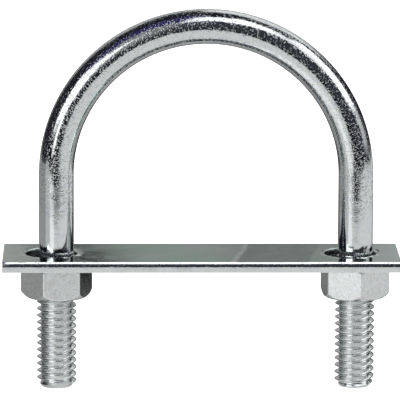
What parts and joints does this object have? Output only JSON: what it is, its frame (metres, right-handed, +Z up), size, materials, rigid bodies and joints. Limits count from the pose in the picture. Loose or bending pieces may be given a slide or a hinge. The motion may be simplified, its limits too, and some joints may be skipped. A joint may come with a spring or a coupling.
{
  "type": "pad eye",
  "caption": "Round-rod U-shaped eye with threaded studs through a flat two-hole clamp plate, held by hexagon nuts under the plate.",
  "frame": {"origin": "on the plate's top face, halfway between the two leg axes", "axes": "+Z up towards the crown of the eye, +X from the left leg to the right leg, -Y towards the viewer's side of the eye"},
  "size_m": [0.0794, 0.0201, 0.0767],
  "materials": {
    "zinc_rod": "bright zinc-plated steel, drawn rod",
    "zinc_plate": "bright zinc-plated steel strip",
    "zinc_nut": "satin zinc-plated steel"
  },
  "bodies": {
    "u_bolt": {"u_bolt": "zinc_rod"},
    "plate": {"plate": "zinc_plate"},
    "left_nut": {"left_nut": "zinc_nut"},
    "right_nut": {"right_nut": "zinc_nut"}
  },
  "joints": [
    {"name": "plate_travel", "type": "slide", "parent": "u_bolt", "child": "plate", "axis": [0, 0, 1], "range_m": [-0.0182, 0.00127]},
    {"name": "left_nut_turn", "type": "hinge", "parent": "plate", "child": "left_nut", "pos_m": [-0.03, 0, 0], "axis": [0, 0, 1], "range_deg": [-4648, 328]},
    {"name": "right_nut_turn", "type": "hinge", "parent": "plate", "child": "right_nut", "pos_m": [0.03, 0, 0], "axis": [0, 0, 1], "range_deg": [-4648, 328]}
  ],
  "couplings": [
    {"joint": "left_nut_turn", "follows": "plate_travel", "rad_per_m": 4452.7},
    {"joint": "right_nut_turn", "follows": "plate_travel", "rad_per_m": 4452.7}
  ]
}
